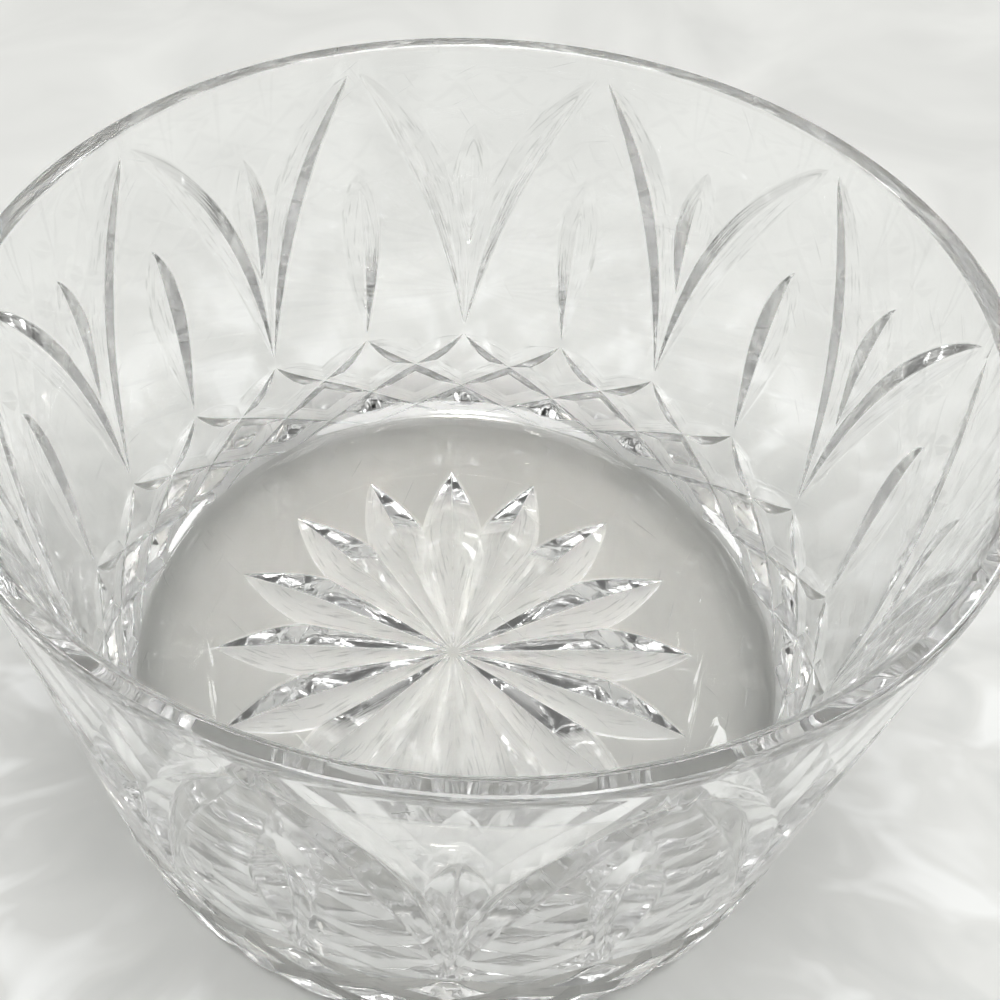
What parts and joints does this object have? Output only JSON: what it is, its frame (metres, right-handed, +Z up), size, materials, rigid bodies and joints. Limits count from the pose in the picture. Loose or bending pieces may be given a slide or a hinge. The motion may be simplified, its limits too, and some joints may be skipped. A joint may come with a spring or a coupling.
{
  "type": "cut glass bowl",
  "caption": "Open cut crystal puff box bowl with a flared wall, pointed arches, a crossed diamond band and a star base.",
  "frame": {"origin": "centre of the base, on the surface that the bowl stands on", "axes": "+Z up along the bowl's axis, towards the open rim; +Y through a valley between two arches"},
  "size_m": [0.1198, 0.1198, 0.075],
  "materials": {
    "crystal": "polished clear crystal with wheel-cut facets"
  },
  "bodies": {
    "root": {"bowl": "crystal"}
  },
  "joints": []
}
